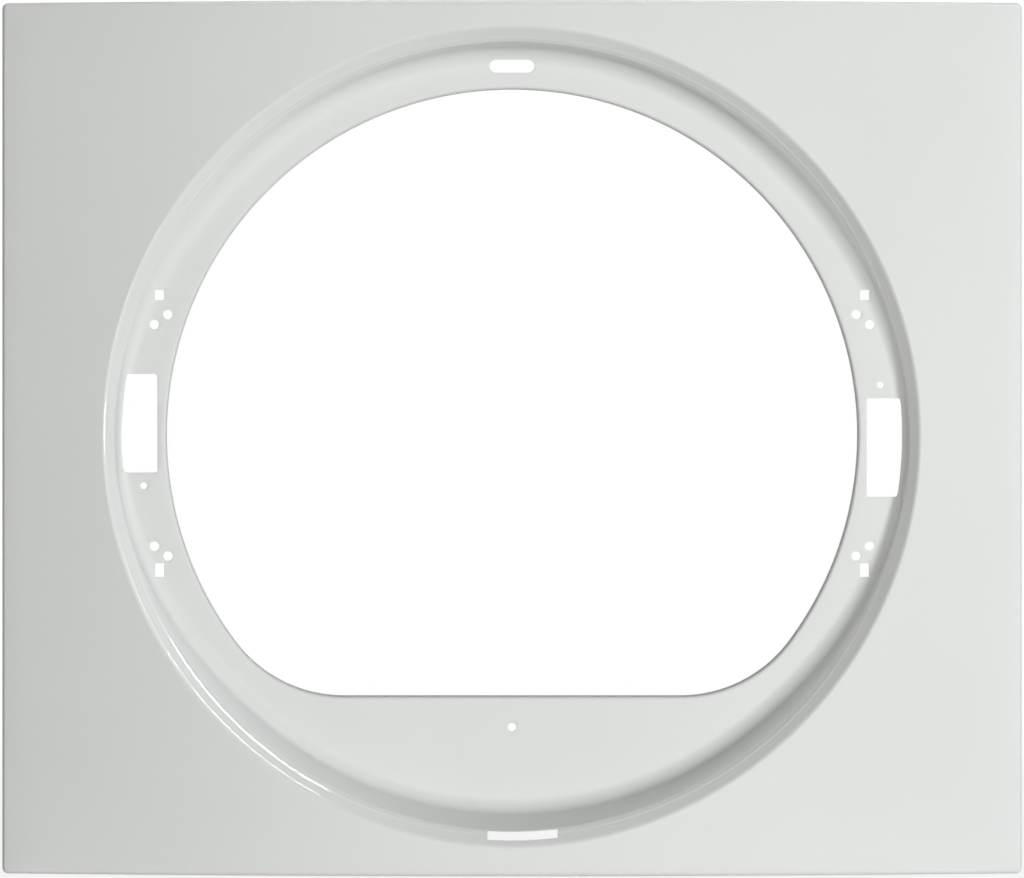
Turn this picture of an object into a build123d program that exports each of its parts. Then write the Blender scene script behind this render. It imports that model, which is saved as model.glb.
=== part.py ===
from build123d import *
import math
import os

# Front panel of a tumble dryer: one sheet of steel, pressed, punched and folded.
# Frame, in millimetres: +X right, +Y into the cabinet, +Z up.
# The origin is the middle of the rear fixing plane, and the front faces -Y.

# Sheet and outline
sheet = 0.8
panel_width = 595.0
panel_height = 508.0
middle_depth = 48.0
bow_radius = 1856.0
front_lean = 1.5
edge_bend = 4.0

# Rear flanges and their fixing holes
flange_width = 14.0
flange_bend = 2.0
flange_relief = 24.0
fixing_hole = 4.6
fixing_inset = 7.5
fixing_margin = 54.0

# Round recess: a shoulder of two narrow bands, a steep wall, a fillet and a flat floor
ring_margin = 16.5
ring_rise = 1.0
shoulder_chamfer = 2.3
band_width = 7.0
band_depth = 6.4
band_overlap = 3.0
wall_angle = 68.0
side_wall_rise = 5.0
floor_fillet = 16.0

# Door opening in the floor, with its rim turned back over a chamfer
ledge_width = 35.5
sill_rise = 49.5
sill_corner = 79.0
rim_chamfer = 1.4
rim_depth = 10.0

# Holes for the door hinge, the same on each side
lug_inset = 3.8
lug_width = 5.2
upper_lug_height = 6.0
upper_lug_rise = 81.9
lower_lug_height = 8.0
lower_lug_drop = 78.7
hinge_screw = 5.5
inner_screw_inset = 4.9
inner_screw_rise = 70.5
outer_screw_outset = 3.0
outer_screw_rise = 64.7

# Latch cut-outs, turned half a turn from one side to the other
latch_inset = 5.1
latch_margin = 9.8
latch_height = 57.6
latch_drop = 7.1
latch_corner = 1.5
latch_screw = 4.0
latch_screw_inset = 13.1
latch_screw_rise = 29.4

# Single holes on or near the middle line
top_slot_inset = 13.4
top_slot_length = 26.2
top_slot_width = 7.6
sill_hole = 5.0
sill_hole_inset = 18.0
drain_slot_margin = 3.3
drain_slot_width = 4.6
drain_slot_length = 40.6
drain_slot_shift = 6.2

# Room that the cutting tools run past what they cut
overrun = 10.0

# Sizes that follow from those above
ring_radius = panel_height / 2 - ring_margin
crease_radius = ring_radius - band_width
band_angle = math.degrees(math.atan2(band_depth, band_width))
ring_sag = bow_radius - math.sqrt(bow_radius**2 - ring_radius**2)
floor_depth = side_wall_rise + band_depth + ring_sag
floor_y = floor_depth - middle_depth
opening_radius = ring_radius - ledge_width
sill_drop = opening_radius - sill_rise
lug_reach = opening_radius + lug_inset
lean_slope = math.tan(math.radians(front_lean))
full_depth = middle_depth + lean_slope * panel_height / 2

# The floor of the recess: X to the right, Y up, Z towards the front
floor_plane = Plane((0, floor_y, ring_rise), x_dir=(1, 0, 0), z_dir=(0, -1, 0))

# The leaning front: the frame's own axes, turned with the sheet, and its plane at the middle of the ring
front_frame = Pos(0, -middle_depth, 0) * Rot(-front_lean, 0, 0)
ring_plane = Plane(front_frame * Pos(0, 0, ring_rise) * Rot(90, 0, 0))


def oval(side, top, bottom):
    """An outline of four arcs that reaches these distances to the sides, up and down."""
    rise = (top + bottom) / 2
    side_arc = (rise**2 / side + rise) / 2
    side_middle = side - side_arc
    top_arc = (side_middle**2 + rise**2 - side_arc**2) / (2 * (rise - side_arc))
    top_middle = top_arc - rise
    turn = math.degrees(math.atan2(top_middle, side_middle))
    arcs = [
        CenterArc((side_middle, 0), side_arc, -turn, 2 * turn),
        CenterArc((0, -top_middle), top_arc, turn, 180 - 2 * turn),
        CenterArc((-side_middle, 0), side_arc, 180 - turn, 2 * turn),
        CenterArc((0, top_middle), top_arc, 180 + turn, 180 - 2 * turn),
    ]
    return Pos(0, (top - bottom) / 2) * make_face(arcs)


def bowed_core(inset):
    """The body behind the leaning, bowed front, taken in on every side, with sharp edges."""
    block = Box(panel_width - 2 * inset, 4 * full_depth, panel_height - 2 * inset)
    front = Pos(0, bow_radius, 0) * Cylinder(bow_radius - inset, panel_height)
    behind = Pos(0, panel_width - inset, 0) * Box(2 * panel_width, 2 * panel_width, 2 * panel_height)
    return front_frame * (block & front) - behind


def folded_body(inset):
    """The bowed body with its front edges and corners, and then its rear edges, bent round."""
    body = bowed_core(inset)
    front = body.faces().filter_by(GeomType.CYLINDER)[0]
    rear = body.faces().sort_by(Axis.Y)[-1]
    corners = [edge for edge in body.edges() if edge not in front.edges() + rear.edges()]
    body = fillet(front.edges() + corners, edge_bend - inset)
    rear = body.faces().sort_by(Axis.Y)[-1]
    return fillet(rear.edges(), flange_bend - inset)


def wall_cutter(inset):
    """The steep wall of the recess, its fillet and its floor, as the body that they enclose."""
    crease_rise = floor_depth - band_depth
    lean_rise = lean_slope * crease_radius
    spread = inset * math.tan(math.radians(wall_angle / 2))

    def foot(wall_rise):
        return crease_radius - wall_rise / math.tan(math.radians(wall_angle)) + spread

    outline = oval(foot(side_wall_rise), foot(crease_rise - lean_rise), foot(crease_rise + lean_rise))
    body = extrude(floor_plane.offset(-inset) * outline, full_depth, taper=wall_angle - 90)
    floor = body.faces().sort_by(Axis.Y)[-1]
    return fillet(floor.edges(), floor_fillet + inset)


def band_cutter(inset):
    """The band that leads from the front surface down to the crease above the steep wall."""
    depth = ring_sag + 2 * band_depth
    slope = math.tan(math.radians(band_angle))
    reach = ring_radius - depth / slope + inset / math.sin(math.radians(band_angle))
    outline = oval(reach + ring_sag / slope, reach, reach)
    body = extrude(ring_plane.offset(-depth) * outline, depth + overrun, taper=band_angle - 90)
    return body - bowed_core(inset + band_depth + band_overlap)


def opening_cutter(inset):
    """The door opening: a circle cut off by the sill, with large rounded corners."""
    radius = opening_radius + inset
    below_sill = Pos(0, -sill_drop - inset - radius / 2) * Rectangle(2 * radius, radius)
    outline = Circle(radius) - below_sill
    return punch(fillet(outline.vertices(), sill_corner + inset))


def pressed_form(inset):
    """The body behind the pressed surface, or behind the sheet's back when taken in by its thickness."""
    body = folded_body(inset) - wall_cutter(inset) - band_cutter(inset)
    front = body.faces().filter_by(GeomType.CYLINDER).sort_by(SortBy.AREA)[-1]
    body = chamfer(front.inner_wires()[0].edges(), shoulder_chamfer)
    body -= opening_cutter(inset)
    floor = body.faces().filter_by(Axis.Y).sort_by(Axis.Y)[0]
    square_corner = 2 - math.sqrt(2)
    return chamfer(floor.inner_wires()[0].edges(), rim_chamfer - square_corner * inset)


def punch(outline):
    """A tool of this outline, drawn on the floor of the recess, that runs through the whole panel."""
    return extrude(floor_plane * outline, full_depth, both=True)


def rear_cutters():
    """What is cut away behind: the middle of the rear, the flanges' corners and the rest of the rim."""
    window = Box(panel_width - 2 * flange_width, 2 * flange_bend, panel_height - 2 * flange_width)
    notch = Box(2 * flange_relief, 2 * flange_bend, 2 * flange_relief)
    corners = [
        Pos(x * panel_width / 2, 0, z * panel_height / 2) * notch for x in (-1, 1) for z in (-1, 1)
    ]
    rim_waste = extrude(floor_plane.offset(-rim_depth) * Circle(opening_radius + overrun), -full_depth)
    return [window, rim_waste] + corners


def hinge_holes(side):
    """Two holes for the hinge's lugs and four for its screws, on one side of the recess."""
    lugs = [(upper_lug_rise, upper_lug_height), (-lower_lug_drop, lower_lug_height)]
    screws = [
        (lug_reach - inner_screw_inset, inner_screw_rise),
        (lug_reach + outer_screw_outset, outer_screw_rise),
    ]
    holes = [Pos(side * lug_reach, z) * Rectangle(lug_width, height) for z, height in lugs]
    holes += [
        Pos(side * reach, z) * Circle(hinge_screw / 2) for reach, rise in screws for z in (-rise, rise)
    ]
    return holes


def latch_holes(turn):
    """A latch cut-out whose outer side follows the ring, with its screw hole, turned about the ring."""
    inner = opening_radius + latch_inset
    window = Circle(ring_radius - latch_margin) & (
        Pos((inner + ring_radius) / 2, -latch_drop) * Rectangle(ring_radius - inner, latch_height)
    )
    window = fillet(window.vertices(), latch_corner)
    screw = Pos(opening_radius + latch_screw_inset, latch_screw_rise) * Circle(latch_screw / 2)
    return [Rot(0, 0, turn) * window, Rot(0, 0, turn) * screw]


def middle_holes():
    """The slot at the top, the hole below the sill and the drain slot at the foot of the recess."""
    slot = Pos(0, opening_radius + top_slot_inset) * SlotOverall(top_slot_length, top_slot_width)
    hole = Pos(0, -sill_drop - sill_hole_inset) * Circle(sill_hole / 2)
    drain_radius = ring_radius - drain_slot_margin
    arc = Circle(drain_radius) - Circle(drain_radius - drain_slot_width)
    drain = arc & (Pos(drain_slot_shift, -ring_radius) * Rectangle(drain_slot_length, ring_radius))
    return [slot, hole, drain]


def fixing_holes():
    """The screw holes in the side flanges, along the cabinet's depth."""
    hole = Rot(90, 0, 0) * Cylinder(fixing_hole / 2, 2 * flange_bend)
    reach = panel_width / 2 - fixing_inset
    rise = panel_height / 2 - fixing_margin
    return [Pos(x * reach, 0, z * rise) * hole for x in (-1, 1) for z in (-1, 1)]


# The sheet is what lies between the pressed surface and the same surface one thickness further in
front_panel = pressed_form(0) - pressed_form(sheet)
front_panel -= rear_cutters()
outlines = hinge_holes(-1) + hinge_holes(1) + latch_holes(0) + latch_holes(180) + middle_holes()
front_panel -= [punch(outline) for outline in outlines]
front_panel -= fixing_holes()

os.makedirs("parts", exist_ok=True)
front_panel.label = "front_panel"
export_step(front_panel, "parts/front_panel.step")
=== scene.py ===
import math

import bmesh
import bpy
import numpy as np
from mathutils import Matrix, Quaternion, Vector


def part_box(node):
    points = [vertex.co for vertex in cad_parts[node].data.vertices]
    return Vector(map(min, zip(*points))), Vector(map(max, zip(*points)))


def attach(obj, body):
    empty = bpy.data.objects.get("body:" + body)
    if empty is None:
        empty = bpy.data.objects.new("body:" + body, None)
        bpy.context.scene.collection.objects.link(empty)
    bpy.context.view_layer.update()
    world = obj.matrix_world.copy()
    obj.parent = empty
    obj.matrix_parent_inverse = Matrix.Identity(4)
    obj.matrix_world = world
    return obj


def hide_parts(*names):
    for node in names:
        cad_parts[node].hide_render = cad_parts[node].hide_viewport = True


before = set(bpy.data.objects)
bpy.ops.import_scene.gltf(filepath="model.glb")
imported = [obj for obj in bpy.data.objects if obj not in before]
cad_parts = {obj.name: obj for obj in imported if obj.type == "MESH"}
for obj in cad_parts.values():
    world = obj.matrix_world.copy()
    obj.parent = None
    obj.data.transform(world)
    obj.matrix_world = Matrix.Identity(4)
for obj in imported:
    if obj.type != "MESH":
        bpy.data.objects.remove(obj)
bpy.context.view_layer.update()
scene = bpy.context.scene

# The outline of the sheet: a blank of 0.8 mm steel that is folded back along its four edges.
# Sizes are in millimetres, from the middle of the plane that lies against the cabinet. The stations are
# the places round the panel at which its section is drawn, from the door opening out to the rear flange.
sheet = 0.8
half_width = 297.5
half_height = 254.0
middle_depth = 48.0
lean = math.radians(1.5)
corner = 3.4
flange_relief = 24.0
ring_rise = 1.0
station_step = 0.75
notch_points = 5
corner_points = 8


def outline_stations():
    """Points of the rounded outline and their outward directions, on the leaning front, once round."""
    points, normals = [], []
    straight = [(half_width, half_height), (half_height, half_width)]
    for quarter in range(4):
        reach, span = straight[quarter % 2]
        turn = math.radians(90 * quarter)
        side = np.array([math.cos(turn), math.sin(turn)])
        along = np.array([-side[1], side[0]])
        end = span - corner
        relief = span - flange_relief
        angles = np.radians(np.arange(-60, 60.01, station_step))
        steps = reach * np.tan(angles)
        steps = steps[np.abs(steps) < relief - 3]
        notch = np.linspace(relief, end, notch_points)
        steps = np.concatenate([-notch[::-1], steps, notch])
        for step in steps:
            points.append(side * reach + along * step)
            normals.append(side)
        for part in np.radians(np.linspace(0, 90, corner_points)[1:-1]):
            normal = side * math.cos(part) + along * math.sin(part)
            points.append(side * (reach - corner) + along * end + corner * normal)
            normals.append(normal)
    return np.array(points), np.array(normals)


edge_point, edge_normal = outline_stations()
stations = len(edge_point)

# The bowed front and its round recess: drawn in one stroke of the press. From the front inwards it has a
# rolled edge, a narrow sloping band with fine beads pressed into it, a crease, a steep wall, a wide fillet
# and a flat floor that stands nearly upright while the front leans.
bow_radius = 1856.0
ring_radius = 237.5
band_width = 7.0
band_depth = 6.4
ring_roll = 1.3
side_wall_rise = 5.0
full_wall_sine = 0.78
side_crease_shift = 1.3
crease_travel = 2.6
crease_bead_radius = 230.9
crease_bead_width = 0.55
crease_bead_height = 0.2
fine_bead_radii = (233.5, 235.5)
fine_bead_width = 0.6
fine_bead_height = 0.05
side_wall_run = 7.2
wall_run_growth = 8.6
wall_run_change = 2.2
side_roll_share = 0.04
roll_share_growth = 0.3
roll_share_change = 0.12
crease_kink = 0.85
wall_points = 22
floor_tilt = math.radians(0.6)
band_slope = band_depth / band_width
band_angle = math.atan(band_slope)
ring_sag = bow_radius - math.sqrt(bow_radius**2 - ring_radius**2)
floor_depth = side_wall_rise + band_depth + ring_sag
floor_y = floor_depth - middle_depth


def oval_reach(angle, side, rise):
    """How far an oval of these half sizes reaches from its middle in these directions."""
    return 1 / np.sqrt((np.cos(angle) / side) ** 2 + (np.sin(angle) / rise) ** 2)


def bow(x):
    return bow_radius - np.sqrt(bow_radius**2 - x**2)


def skin_y(x, z):
    return -middle_depth + bow(x) / math.cos(lean) + z * math.tan(lean)


def band_y(radius, angle):
    start = oval_reach(angle, ring_radius + ring_sag / band_slope, ring_radius)
    z = ring_rise + radius * np.sin(angle)
    return -middle_depth + z * math.tan(lean) + (start - radius) * band_slope


def wall_growth(angle):
    """How far the wall has grown in these directions: 0 at the sides, 1 from about 50 degrees on."""
    share = np.minimum(np.abs(np.sin(angle)) / full_wall_sine, 1)
    return share**2 * (3 - 2 * share)


def band_end(angle):
    """Radius of the crease between the band and the wall, which moves inwards as the wall grows."""
    return ring_radius - band_width + side_crease_shift - crease_travel * wall_growth(angle)


def swell(radius, middle, width):
    return np.exp(-(((radius - middle) / width) ** 2))


def bead(radius, angle):
    """Height of the three fine beads along the band, the strongest of them on the crease."""
    crease = wall_growth(angle) * swell(radius, crease_bead_radius, crease_bead_width)
    fine = sum(swell(radius, middle, fine_bead_width) for middle in fine_bead_radii)
    return crease_bead_height * crease + fine_bead_height * fine


def shoulder_y(radius, angle):
    """The deeper of front and beaded band, with the edge between them rolled over."""
    skin = skin_y(radius * np.cos(angle), ring_rise + radius * np.sin(angle))
    band = band_y(radius, angle) - bead(radius, angle)
    near = np.maximum(ring_roll - np.abs(skin - band), 0)
    return np.maximum(skin, band) + near**2 / (4 * ring_roll)


def floor_at(z):
    return floor_y + (z - ring_rise) * math.tan(floor_tilt)


def wall_section(angle):
    """Radius and depth of the wall's points, from the crease over a roll and a fillet to the floor."""
    up = np.sin(angle)
    growth = wall_growth(angle)
    run = side_wall_run + (wall_run_growth - wall_run_change * up) * growth
    rolled = run * (side_roll_share + (roll_share_growth - roll_share_change * up) * growth)
    hollow = run - rolled
    outer = band_end(angle)
    start = band_y(outer, angle)
    drop = floor_at(ring_rise + (outer - run) * up) - start
    low = np.full(len(angle), band_angle)
    high = np.full(len(angle), math.radians(89))
    for halving in range(30):
        steepest = (low + high) / 2
        crease = band_angle + crease_kink * up**8 * (steepest - band_angle)
        reached = hollow * np.tan(steepest / 2) + rolled * np.tan((steepest + crease) / 2)
        low = np.where(reached < drop, steepest, low)
        high = np.where(reached < drop, high, steepest)
    roll = rolled / (np.sin(steepest) - np.sin(crease))
    fillet = hollow / np.sin(steepest)
    over = roll * (steepest - crease)
    section = []
    for share in np.linspace(0, 1, wall_points + 1)[1:]:
        path = share * (over + fillet * steepest)
        first = crease + np.minimum(path, over) / roll
        last = steepest - np.maximum(path - over, 0) / fillet
        inward = roll * (np.sin(first) - np.sin(crease)) + fillet * (np.sin(steepest) - np.sin(last))
        down = roll * (np.cos(crease) - np.cos(first)) + fillet * (np.cos(last) - np.cos(steepest))
        section.append((outer - inward, start + down))
    return section


# The door opening in the floor: a circle cut off by a flat sill, with its rim turned back into the
# cabinet over a tight bend so that laundry doesn't catch on it.
opening_radius = 202.0
sill_drop = 152.5
sill_corner = 79.0
rim_bend = 2.0
rim_depth = 10.0


def opening_edge(angle, outset):
    """The outline of the opening in these directions, and the direction that faces out of it there."""
    along = np.stack([np.abs(np.cos(angle)), np.sin(angle)], axis=1)
    middle = np.array([0, sill_corner - sill_drop])
    middle[0] = math.sqrt((opening_radius - sill_corner) ** 2 - middle[1] ** 2)
    reach = np.full(len(angle), opening_radius + outset)
    normal = along.copy()
    low = np.arctan2(along[:, 1], along[:, 0]) < math.atan2(middle[1], middle[0])
    to_sill = (sill_drop + outset) / np.maximum(-along[:, 1], 1e-9)
    on_sill = low & (along[:, 0] * to_sill < middle[0])
    inward = along @ middle
    to_corner = inward + np.sqrt(np.maximum(inward**2 - middle @ middle + (sill_corner + outset) ** 2, 0))
    on_corner = low & ~on_sill
    reach[on_sill] = to_sill[on_sill]
    normal[on_sill] = (0, -1)
    reach[on_corner] = to_corner[on_corner]
    normal[on_corner] = (along * to_corner[:, None] - middle)[on_corner] / (sill_corner + outset)
    normal[:, 0] *= np.where(np.cos(angle) < 0, -1, 1)
    return reach, normal


# The sheet drawn station by station: rim, floor, wall, shoulder, front, folded edge, return and flange.
# The front of the sheet is laid out first, and its back lies one thickness behind it.
edge_bend = 2.6
flange_bend = 2.0
flange_width = 14.0
ring_skirt = 2.4
floor_rows = 6
band_rows = 28
front_rows = 6


def lean_to_world(x, y, t):
    """From the leaning front's own axes to the frame's."""
    world_y = -middle_depth + y * math.cos(lean) + t * math.sin(lean)
    world_z = -y * math.sin(lean) + t * math.cos(lean)
    return np.stack([x, world_y, world_z], axis=1)


edge_y = bow(edge_point[:, 0])
edge_slope = edge_point[:, 0] / np.sqrt(bow_radius**2 - edge_point[:, 0] ** 2) * edge_normal[:, 0]
edge_tilt = np.sqrt(1 + edge_slope**2)
bend_y = edge_y - edge_slope * edge_bend + edge_bend * edge_tilt
bend_start = np.arctan2(1, edge_slope)


def edge_row(turn):
    """The bend along the folded edge, from 0 at the front to 1 at the return."""
    angle = bend_start * (1 - turn)
    out = edge_bend * (np.cos(angle) - 1)
    plan = edge_point + edge_normal * out[:, None]
    return lean_to_world(plan[:, 0], bend_y - edge_bend * np.sin(angle), plan[:, 1])


skin_end = edge_row(0)
station_angle = np.arctan2(skin_end[:, 2] - ring_rise, skin_end[:, 0])
ring_end = ring_radius + ring_skirt
section = wall_section(station_angle)[::-1]
rows = []

# Rim and floor
rim_reach, rim_normal = opening_edge(station_angle, rim_bend)
rim_start = rim_reach[:, None] * np.stack([np.cos(station_angle), np.sin(station_angle)], axis=1)


def rim_row(inward, back):
    plan = rim_start - rim_normal * inward
    z = plan[:, 1] + ring_rise
    return np.stack([plan[:, 0], floor_at(z) + back, z], axis=1)


def polar_row(radius, depth):
    x = radius * np.cos(station_angle)
    z = ring_rise + radius * np.sin(station_angle)
    return np.stack([x, np.broadcast_to(depth, stations), z], axis=1)


for back in (rim_depth, 6.0, 3.0):
    rows.append(rim_row(rim_bend, back))
for turn in np.radians(np.linspace(90, 0, 7)):
    rows.append(rim_row(rim_bend * math.sin(turn), rim_bend * (1 - math.cos(turn))))
for share in np.linspace(0, 1, floor_rows)[1:-1]:
    reach = rim_reach + share * (section[0][0] - rim_reach)
    rows.append(polar_row(reach, floor_at(ring_rise + reach * np.sin(station_angle))))

# Fillet, wall and crease, then the band and its rolled edge
for reach, depth in section:
    rows.append(polar_row(reach, depth))
crease_radius = band_end(station_angle)
for share in np.linspace(0, 1, band_rows):
    radius = crease_radius + share * (ring_end - crease_radius)
    rows.append(polar_row(radius, shoulder_y(radius, station_angle)))

# Front, out to the folded edge
ring_plan = ring_end * np.stack([np.cos(station_angle), np.sin(station_angle)], axis=1)
skin_plan = np.stack([skin_end[:, 0], skin_end[:, 2] - ring_rise], axis=1)
for share in np.linspace(0, 1, front_rows + 1)[1:]:
    plan = ring_plan + share * (skin_plan - ring_plan)
    z = plan[:, 1] + ring_rise
    rows.append(np.stack([plan[:, 0], skin_y(plan[:, 0], z), z], axis=1))

# Folded edge, return, rear bend and flange
for turn in np.linspace(0, 1, 8)[1:]:
    rows.append(edge_row(turn))
return_end = (middle_depth - flange_bend - edge_point[:, 1] * math.sin(lean)) / math.cos(lean)
for share in (0.33, 0.66, 1.0):
    y = bend_y + share * (return_end - bend_y)
    rows.append(lean_to_world(edge_point[:, 0], y, edge_point[:, 1]))
fold_row = len(rows) - 1
rear = rows[-1]
for turn in np.radians(np.linspace(0, 90, 6)[1:]):
    row = rear.copy()
    row[:, [0, 2]] -= edge_normal * flange_bend * (1 - math.cos(turn))
    row[:, 1] = flange_bend * (math.sin(turn) - 1)
    rows.append(row)
flange_end = rows[-1].copy()
on_side = np.abs(edge_normal[:, 0]) > 0.999
on_top = np.abs(edge_normal[:, 1]) > 0.999
flange_end[on_side, 0] = np.sign(edge_normal[on_side, 0]) * (half_width - flange_width)
flange_end[on_top, 2] = np.sign(edge_normal[on_top, 1]) * (half_height - flange_width)
rows.append((rows[-1] + flange_end) / 2)
rows.append(flange_end)

face = np.stack(rows, axis=1)
around = np.roll(face, -1, axis=0) - np.roll(face, 1, axis=0)
across = np.gradient(face, axis=1)
normal = np.cross(across, around)
normal /= np.maximum(np.linalg.norm(normal, axis=2, keepdims=True), 1e-9)
back = face - sheet * normal

# Faces of both sides, without the flange where its corners are notched, and the cut edges between them
count = face.shape[1]
notched = (np.abs(edge_point[:, 0]) > half_width - flange_relief - 0.01) & (
    np.abs(edge_point[:, 1]) > half_height - flange_relief - 0.01
)
quads = []
edge_use = {}
for i in range(stations):
    k = (i + 1) % stations
    for j in range(count - 1):
        if j >= fold_row and notched[i] and notched[k]:
            continue
        ring = (i * count + j, k * count + j, k * count + j + 1, i * count + j + 1)
        quads.append(ring)
        for first, second in zip(ring, ring[1:] + ring[:1]):
            if (second, first) in edge_use:
                del edge_use[(second, first)]
            else:
                edge_use[(first, second)] = True
behind = stations * count
quads += [tuple(v + behind for v in reversed(ring)) for ring in quads]
cuts = [(b, a, a + behind, b + behind) for a, b in edge_use]
mesh = bpy.data.meshes.new("front_panel_sheet")
points = np.concatenate([face.reshape(-1, 3), back.reshape(-1, 3)]) * 0.001
mesh.from_pydata(points.tolist(), [], quads + cuts)
mesh.update()
used = bmesh.new()
used.from_mesh(mesh)
bmesh.ops.delete(used, geom=[v for v in used.verts if not v.link_faces], context="VERTS")
bmesh.ops.recalc_face_normals(used, faces=used.faces)
used.to_mesh(mesh)
used.free()
panel = bpy.data.objects.new("pressed_sheet", mesh)
scene.collection.objects.link(panel)

# The punched holes: cut straight through along the press, for the fittings of the door on either side,
# for the seal at the top, for a plug under the sill and for water at the foot of the recess.
lug_reach = opening_radius + 3.8
lug_width = 5.2
upper_lug_rise, upper_lug_height = 81.9, 6.0
lower_lug_drop, lower_lug_height = 78.7, 8.0
lug_screw = 5.5
lug_screws = ((lug_reach - 4.9, 70.5), (lug_reach + 3.0, 64.7))
latch_inner = opening_radius + 5.1
latch_outer = ring_radius - 9.8
latch_height = 57.6
latch_drop = 7.1
latch_corner = 1.5
latch_screw = 4.0
latch_screw_reach = opening_radius + 13.1
latch_screw_rise = 29.4
top_slot_rise = opening_radius + 13.4
top_slot_length = 26.2
top_slot_width = 7.6
sill_hole = 5.0
sill_hole_drop = sill_drop + 18.0
drain_radius = ring_radius - 3.3
drain_width = 4.6
drain_length = 40.6
drain_shift = 6.2
fixing_hole = 4.6
fixing_reach = half_width - 7.5
fixing_rise = half_height - 54.0
punch_front = -70.0
flange_punch_front = -6.0
punch_back = 10.0


def disc(x, z, radius):
    turn = np.radians(np.arange(0, 360, 9))
    return np.stack([x + radius * np.cos(turn), z + radius * np.sin(turn)], axis=1)


def rounded(corners, radius):
    """An outline through these corners, each one turned into a small arc."""
    corners = np.array(corners, float)
    outline = []
    for before, at, after in zip(np.roll(corners, 1, 0), corners, np.roll(corners, -1, 0)):
        inward = (before - at) / np.linalg.norm(before - at)
        onward = (after - at) / np.linalg.norm(after - at)
        half = math.acos(np.clip(inward @ onward, -1, 1)) / 2
        middle = at + (inward + onward) / np.linalg.norm(inward + onward) * radius / math.sin(half)
        start = at + inward * radius / math.tan(half) - middle
        end = at + onward * radius / math.tan(half) - middle
        for share in np.linspace(0, 1, 6):
            spoke = start * (1 - share) + end * share
            outline.append(middle + spoke / np.linalg.norm(spoke) * radius)
    return np.array(outline)


def block(x, z, width, height, radius=0.5):
    w, h = width / 2, height / 2
    return rounded([(x - w, z - h), (x + w, z - h), (x + w, z + h), (x - w, z + h)], radius)


def latch_window(side):
    """A latch cut-out whose outer side follows the ring, turned half a turn for the other side."""
    low, high = -latch_drop - latch_height / 2, -latch_drop + latch_height / 2
    ends = [math.sqrt(latch_outer**2 - z**2) for z in (low, high)]
    sharp = [(latch_inner, low), (ends[0], low), (ends[1], high), (latch_inner, high)]
    corners = rounded(sharp, latch_corner)
    arc_z = np.linspace(low + 2 * latch_corner, high - 2 * latch_corner, 20)
    arc = np.stack([np.sqrt(latch_outer**2 - arc_z**2), arc_z], axis=1)
    return side * np.concatenate([corners[:12], arc, corners[12:]])


def drain_window():
    """A slot between two arcs round the middle of the ring."""
    x = drain_shift + np.linspace(-drain_length / 2, drain_length / 2, 24)
    lower = np.stack([x, -np.sqrt(drain_radius**2 - x**2)], axis=1)
    upper = np.stack([x, -np.sqrt((drain_radius - drain_width) ** 2 - x**2)], axis=1)
    return np.concatenate([lower, upper[::-1]])


holes = [
    block(0, top_slot_rise, top_slot_length, top_slot_width, top_slot_width / 2 - 0.01),
    disc(0, -sill_hole_drop, sill_hole / 2),
    drain_window(),
]
for side in (-1, 1):
    holes.append(latch_window(side))
    holes.append(disc(side * latch_screw_reach, side * latch_screw_rise, latch_screw / 2))
    holes.append(block(side * lug_reach, upper_lug_rise, lug_width, upper_lug_height))
    holes.append(block(side * lug_reach, -lower_lug_drop, lug_width, lower_lug_height))
    for reach, rise in lug_screws:
        holes.append(disc(side * reach, rise, lug_screw / 2))
        holes.append(disc(side * reach, -rise, lug_screw / 2))
fixing = []
for side in (-1, 1):
    for end in (-1, 1):
        fixing.append(disc(side * fixing_reach, end * fixing_rise - ring_rise, fixing_hole / 2))

punch = bmesh.new()
strokes = [(hole, punch_front) for hole in holes] + [(hole, flange_punch_front) for hole in fixing]
for outline, start in strokes:
    ends = []
    for y in (start, punch_back):
        ring = [Vector((x, y, z + ring_rise)) * 0.001 for x, z in outline]
        ends.append([punch.verts.new(point) for point in ring])
    punch.faces.new(ends[0])
    punch.faces.new(ends[1][::-1])
    for a in range(len(outline)):
        b = (a + 1) % len(outline)
        punch.faces.new((ends[0][b], ends[0][a], ends[1][a], ends[1][b]))
bmesh.ops.recalc_face_normals(punch, faces=punch.faces)
punch_mesh = bpy.data.meshes.new("punch")
punch.to_mesh(punch_mesh)
punch.free()
punch_tool = bpy.data.objects.new("punch", punch_mesh)
scene.collection.objects.link(punch_tool)
cut = panel.modifiers.new("punched", "BOOLEAN")
cut.operation = "DIFFERENCE"
cut.solver = "EXACT"
cut.object = punch_tool
deburr = panel.modifiers.new("deburred", "BEVEL")
deburr.width = 0.0003
deburr.segments = 2
deburr.limit_method = "ANGLE"
deburr.angle_limit = math.radians(50)
bpy.context.view_layer.update()
finished = bpy.data.meshes.new_from_object(panel.evaluated_get(bpy.context.evaluated_depsgraph_get()))
panel.modifiers.clear()
panel.data = finished
bpy.data.objects.remove(punch_tool)
for polygon in finished.polygons:
    polygon.use_smooth = True
finished.set_sharp_from_angle(angle=math.radians(40))

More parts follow.
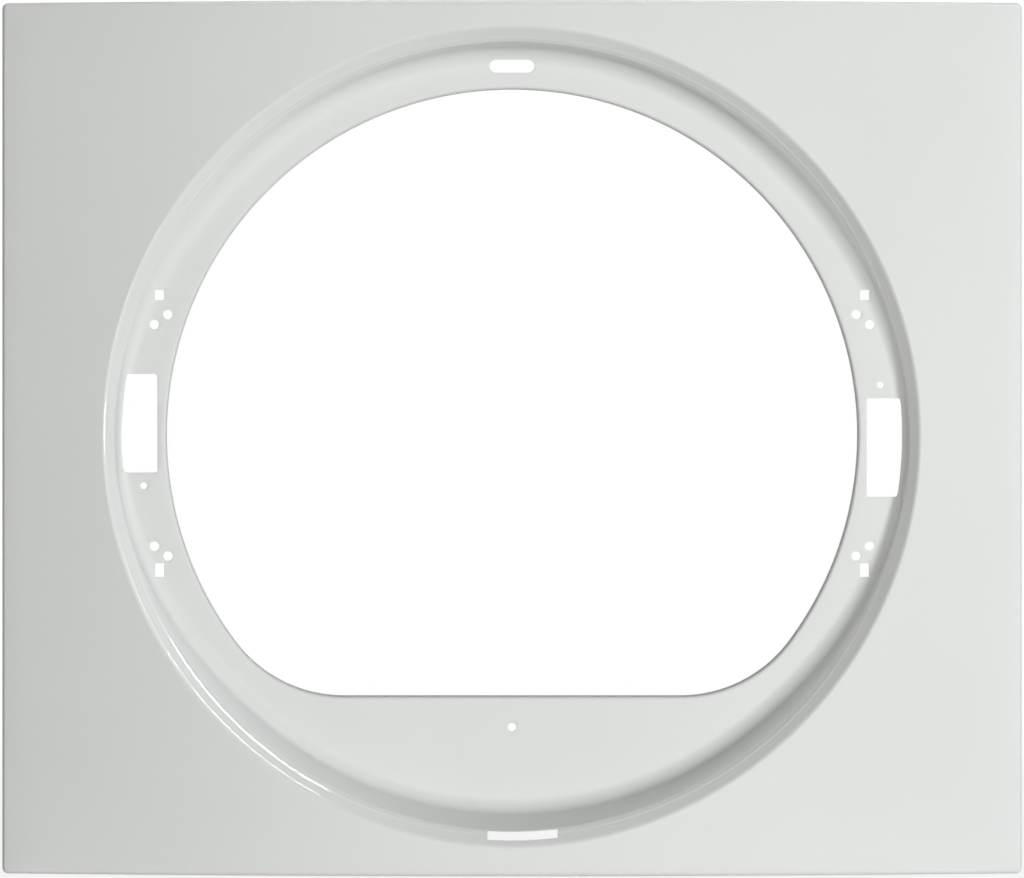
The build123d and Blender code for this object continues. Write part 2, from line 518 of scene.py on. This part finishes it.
# The paint: white stove enamel, sprayed on after pressing. It flows out almost flat, so it shows a faint
# orange peel, a slight change of tone across the panel and a soft gloss. Where the press drew the steel
# smooth, along the band of the ring and the folded edges above and below, it shines.
paint = bpy.data.materials.new("white_enamel")
paint.use_nodes = True
nodes, links = paint.node_tree.nodes, paint.node_tree.links
enamel = nodes["Principled BSDF"]
enamel.inputs["Roughness"].default_value = 0.45
enamel.inputs["Specular IOR Level"].default_value = 0.3
enamel.inputs["Coat Roughness"].default_value = 0.07
enamel.inputs["Coat IOR"].default_value = 1.6
enamel.inputs["IOR"].default_value = 1.5
place = nodes.new("ShaderNodeTexCoord")
tone = nodes.new("ShaderNodeTexNoise")
tone.inputs["Scale"].default_value = 6.0
tone.inputs["Detail"].default_value = 3.0
shade = nodes.new("ShaderNodeValToRGB")
shade.color_ramp.elements[0].position = 0.3
shade.color_ramp.elements[0].color = (0.600, 0.617, 0.605, 1)
shade.color_ramp.elements[1].position = 0.7
shade.color_ramp.elements[1].color = (0.618, 0.635, 0.623, 1)
peel = nodes.new("ShaderNodeTexNoise")
peel.inputs["Scale"].default_value = 420.0
peel.inputs["Detail"].default_value = 1.0
relief = nodes.new("ShaderNodeBump")
relief.inputs["Strength"].default_value = 0.06
relief.inputs["Distance"].default_value = 0.0004
flat = nodes.new("ShaderNodeMapping")
flat.inputs["Location"].default_value = (0, 0, -0.001)
flat.inputs["Scale"].default_value = (1, 0, 1)
reach = nodes.new("ShaderNodeVectorMath")
reach.operation = "LENGTH"
ring_gloss = nodes.new("ShaderNodeValToRGB")
ring_gloss.color_ramp.elements[0].position = 0.2288
ring_gloss.color_ramp.elements[0].color = (0, 0, 0, 1)
ring_gloss.color_ramp.elements[1].position = 0.2300
ring_gloss.color_ramp.elements[1].color = (1, 1, 1, 1)
ring_end_gloss = ring_gloss.color_ramp.elements.new(0.2370)
ring_end_gloss.color = (1, 1, 1, 1)
front_gloss = ring_gloss.color_ramp.elements.new(0.2374)
front_gloss.color = (0, 0, 0, 1)
links.new(place.outputs["Object"], flat.inputs["Vector"])
links.new(flat.outputs["Vector"], reach.inputs[0])
links.new(reach.outputs["Value"], ring_gloss.inputs["Fac"])
height = nodes.new("ShaderNodeSeparateXYZ")
rise = nodes.new("ShaderNodeMath")
rise.operation = "ABSOLUTE"
edge_gloss = nodes.new("ShaderNodeValToRGB")
edge_gloss.color_ramp.elements[0].position = 0.2510
edge_gloss.color_ramp.elements[0].color = (0, 0, 0, 1)
edge_gloss.color_ramp.elements[1].position = 0.2518
edge_gloss.color_ramp.elements[1].color = (1, 1, 1, 1)
gloss = nodes.new("ShaderNodeMath")
gloss.operation = "MAXIMUM"
links.new(place.outputs["Object"], height.inputs[0])
links.new(height.outputs["Z"], rise.inputs[0])
links.new(rise.outputs[0], edge_gloss.inputs["Fac"])
links.new(ring_gloss.outputs["Color"], gloss.inputs[0])
links.new(edge_gloss.outputs["Color"], gloss.inputs[1])
links.new(gloss.outputs[0], enamel.inputs["Coat Weight"])
links.new(place.outputs["Object"], tone.inputs["Vector"])
links.new(place.outputs["Object"], peel.inputs["Vector"])
links.new(tone.outputs["Fac"], shade.inputs["Fac"])
links.new(shade.outputs["Color"], enamel.inputs["Base Color"])
links.new(peel.outputs["Fac"], relief.inputs["Height"])
links.new(relief.outputs["Normal"], enamel.inputs["Normal"])
panel.data.materials.clear()
panel.data.materials.append(paint)
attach(panel, "root")
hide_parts("front_panel")

# The studio: a pale floor that the panel stands on, with its shadow, that runs out into a white backdrop.
# What the camera sees of both is white, also in gloss, and what lights the panel is plain and soft.
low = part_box("front_panel")[0].z - 0.0008


def shown(nodes, links):
    """1 for what the camera, gloss or glass shows, and 0 for the light that falls on the panel."""
    ray = nodes.new("ShaderNodeLightPath")
    mirrored = nodes.new("ShaderNodeMath")
    mirrored.operation = "MAXIMUM"
    seen = nodes.new("ShaderNodeMath")
    seen.operation = "MAXIMUM"
    links.new(ray.outputs["Is Glossy Ray"], mirrored.inputs[0])
    links.new(ray.outputs["Is Transmission Ray"], mirrored.inputs[1])
    links.new(ray.outputs["Is Camera Ray"], seen.inputs[0])
    links.new(mirrored.outputs[0], seen.inputs[1])
    return seen.outputs[0]


floor_mesh = bpy.data.meshes.new("floor")
floor_mesh.from_pydata([(-9, -9, low), (9, -9, low), (9, 9, low), (-9, 9, low)], [], [(0, 1, 2, 3)])
floor = bpy.data.objects.new("floor", floor_mesh)
scene.collection.objects.link(floor)
pale = bpy.data.materials.new("pale_floor")
pale.use_nodes = True
nodes, links = pale.node_tree.nodes, pale.node_tree.links
nodes.clear()
place = nodes.new("ShaderNodeTexCoord")
around = nodes.new("ShaderNodeMapping")
around.inputs["Scale"].default_value = (0.75, 0.75, 0)
spread = nodes.new("ShaderNodeTexGradient")
spread.gradient_type = "SPHERICAL"
ease = nodes.new("ShaderNodeValToRGB")
ease.color_ramp.interpolation = "EASE"
ease.color_ramp.elements[1].position = 0.7
lit = nodes.new("ShaderNodeBsdfDiffuse")
lit.inputs["Color"].default_value = (0.85, 0.85, 0.85, 1)
glow = nodes.new("ShaderNodeEmission")
glow.inputs["Strength"].default_value = 1.0
bright = nodes.new("ShaderNodeMixShader")
bright.inputs[0].default_value = 0.88
fade = nodes.new("ShaderNodeMixShader")
choose = nodes.new("ShaderNodeMixShader")
out = nodes.new("ShaderNodeOutputMaterial")
links.new(place.outputs["Object"], around.inputs["Vector"])
links.new(around.outputs["Vector"], spread.inputs["Vector"])
links.new(spread.outputs["Fac"], ease.inputs["Fac"])
links.new(lit.outputs[0], bright.inputs[1])
links.new(glow.outputs[0], bright.inputs[2])
links.new(ease.outputs["Color"], fade.inputs[0])
links.new(glow.outputs[0], fade.inputs[1])
links.new(bright.outputs[0], fade.inputs[2])
links.new(shown(nodes, links), choose.inputs[0])
links.new(lit.outputs[0], choose.inputs[1])
links.new(fade.outputs[0], choose.inputs[2])
links.new(choose.outputs[0], out.inputs["Surface"])
floor.data.materials.append(pale)

world = bpy.data.worlds.new("studio")
scene.world = world
world.use_nodes = True
nodes, links = world.node_tree.nodes, world.node_tree.links
nodes.clear()
soft = nodes.new("ShaderNodeBackground")
soft.inputs["Color"].default_value = (1, 1, 1, 1)
soft.inputs["Strength"].default_value = 0.12
white = nodes.new("ShaderNodeBackground")
white.inputs["Color"].default_value = (1, 1, 1, 1)
white.inputs["Strength"].default_value = 1.0
choose = nodes.new("ShaderNodeMixShader")
out = nodes.new("ShaderNodeOutputWorld")
links.new(shown(nodes, links), choose.inputs[0])
links.new(soft.outputs[0], choose.inputs[1])
links.new(white.outputs[0], choose.inputs[2])
links.new(choose.outputs[0], out.inputs["Surface"])


# The lamps: a soft box on the right gives most of the light, and one behind the camera and a low strip fill
# in. A short strip lights the top edge, and a long narrow one shows as white lines in the ring's gloss.
cool = (0.96, 0.98, 1.0)
warm = (1.0, 0.985, 0.94)
neutral = (1, 1, 1)


def lamp(name, place, aim, size, power, tint, roll=0.0):
    """A soft box of this width and height at a place, turned to what it lights and then about that line."""
    light = bpy.data.lights.new(name, "AREA")
    light.shape = "RECTANGLE"
    light.size, light.size_y = size
    light.energy = power
    light.color = tint
    holder = bpy.data.objects.new(name, light)
    holder.location = place
    turn = (Vector(aim) - Vector(place)).to_track_quat("-Z", "Y")
    holder.rotation_euler = (turn @ Quaternion((0, 0, 1), math.radians(roll))).to_euler()
    scene.collection.objects.link(holder)
    return holder


lamp("key_box", (2.83, -2.83, -0.05), (0, 0, 0), (0.5, 0.5), 98, cool)
lamp("low_strip", (0.25, -1.78, -0.2), (0, 0, 0), (0.5, 0.09), 4.6, warm)
lamp("front_box", (0.05, -3.9, 0.05), (0, 0, 0), (0.5, 0.5), 46, warm)
lamp("top_strip", (0.05, 0, 0.6), (0.05, 0, 0), (0.6, 0.04), 0.8, neutral)
edge_strip = lamp("edge_strip", (1.136, -0.69, 1.06), (0, 0, 0), (0.05, 1.4), 20, neutral, 20.8)
edge_strip.visible_diffuse = False

# The camera: square to the leaning front, and so far away, in metres, that the edges stay straight.
# Its lens and its shift are in pixels of the picture.
lens_px = 5869.0
shift_px = -0.7
picture_px = 1024
sensor = 36.0
distance = 3.4
camera_data = bpy.data.cameras.new("camera")
camera_data.sensor_width = sensor
camera_data.lens = lens_px * sensor / picture_px
camera_data.shift_y = shift_px / picture_px
camera = bpy.data.objects.new("camera", camera_data)
camera.location = (0, -middle_depth * 0.001 - distance * math.cos(lean), distance * math.sin(lean))
camera.rotation_euler = (math.radians(90) - lean, 0, 0)
scene.collection.objects.link(camera)
scene.camera = camera
scene.view_settings.view_transform = "Standard"
